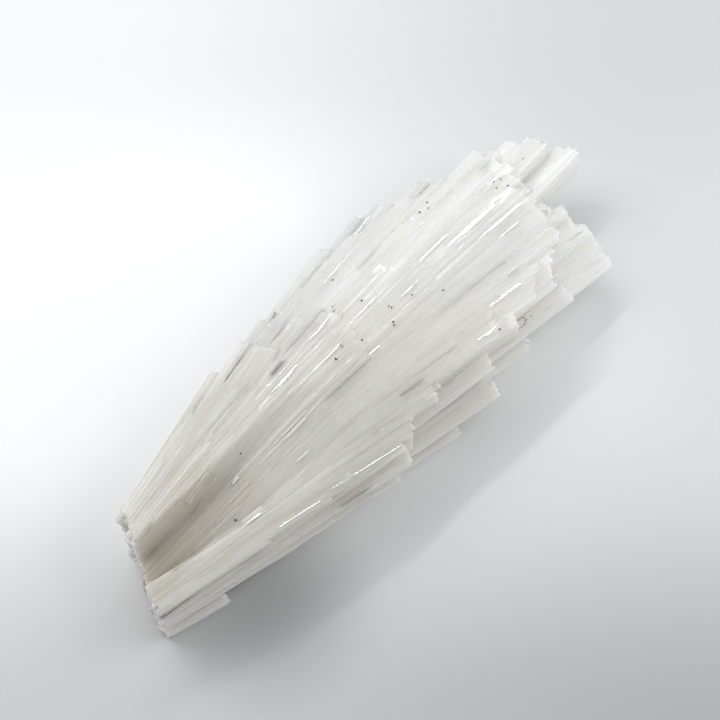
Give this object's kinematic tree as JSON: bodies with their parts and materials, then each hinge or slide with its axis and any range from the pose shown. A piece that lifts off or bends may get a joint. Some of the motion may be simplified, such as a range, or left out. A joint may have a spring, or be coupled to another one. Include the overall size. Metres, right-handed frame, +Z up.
{
  "type": "raw scolecite crystal spray",
  "caption": "Loose raw mineral specimen: a milky, glassy fan of slender square-sided crystals that spread from one broken root, lying on its flat underside.",
  "frame": {"origin": "middle of the specimen's footprint, on the level that its underside rests on", "axes": "+X from the broken root to the crystals' tips, +Y to the fan's left flank, +Z up out of the resting side"},
  "size_m": [0.1124, 0.0414, 0.0202],
  "materials": {
    "milky_crystal": "satin",
    "clear_crystal": "gloss",
    "dark_grain": "matte"
  },
  "bodies": {
    "root": {"scolecite_spray": "milky_crystal"}
  },
  "joints": []
}
